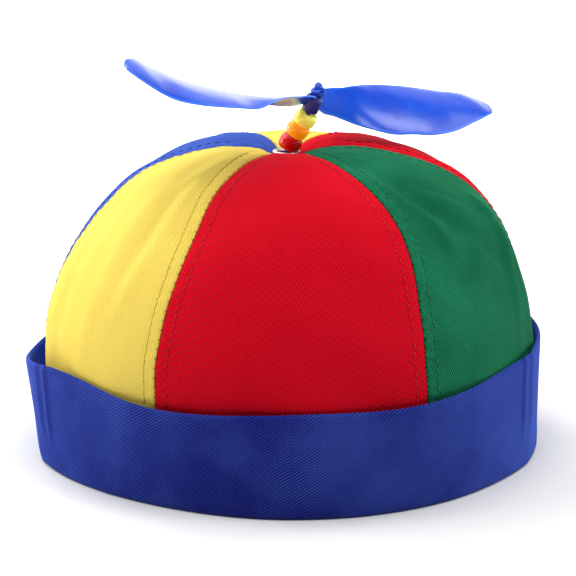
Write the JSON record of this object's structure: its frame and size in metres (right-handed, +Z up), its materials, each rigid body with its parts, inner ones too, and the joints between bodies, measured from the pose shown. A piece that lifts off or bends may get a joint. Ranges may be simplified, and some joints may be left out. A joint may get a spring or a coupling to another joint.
{
  "type": "propeller beanie",
  "caption": "Round brimless cap of coloured cloth gores with a turned-up cuff, and a propeller on a short beaded cord at its crown.",
  "frame": {"origin": "on the floor the cuff stands on, below the middle of the hat's box", "axes": "+Z up through the crown, -Y towards the front red gore, +X to the right as seen from the front"},
  "size_m": [0.1956, 0.1918, 0.1555],
  "materials": {
    "red_twill": "cotton twill, matt",
    "green_twill": "cotton twill, matt",
    "yellow_twill": "cotton twill, matt",
    "blue_twill": "cotton twill, matt",
    "eyelet_metal": "plated, satin",
    "bead_red": "glossy",
    "bead_orange": "glossy",
    "bead_yellow": "glossy",
    "cord": "smooth plastic-coated cord",
    "propeller": "glossy, slightly translucent"
  },
  "bodies": {
    "hat": {"panel_front": "red_twill", "panel_front_right": "green_twill", "panel_rear_right": "red_twill", "panel_rear": "yellow_twill", "panel_rear_left": "blue_twill", "panel_front_left": "yellow_twill", "cuff": "blue_twill", "eyelet": "eyelet_metal", "bead_red": "bead_red", "bead_orange": "bead_orange", "bead_yellow": "bead_yellow", "stem_cord": "cord"},
    "rotor": {"propeller": "propeller"}
  },
  "joints": [
    {"name": "propeller_spin", "type": "hinge", "parent": "hat", "child": "rotor", "pos_m": [0.00945, -0.00461, 0.12912], "axis": [0.3384, -0.1954, 0.9205], "continuous": true}
  ]
}
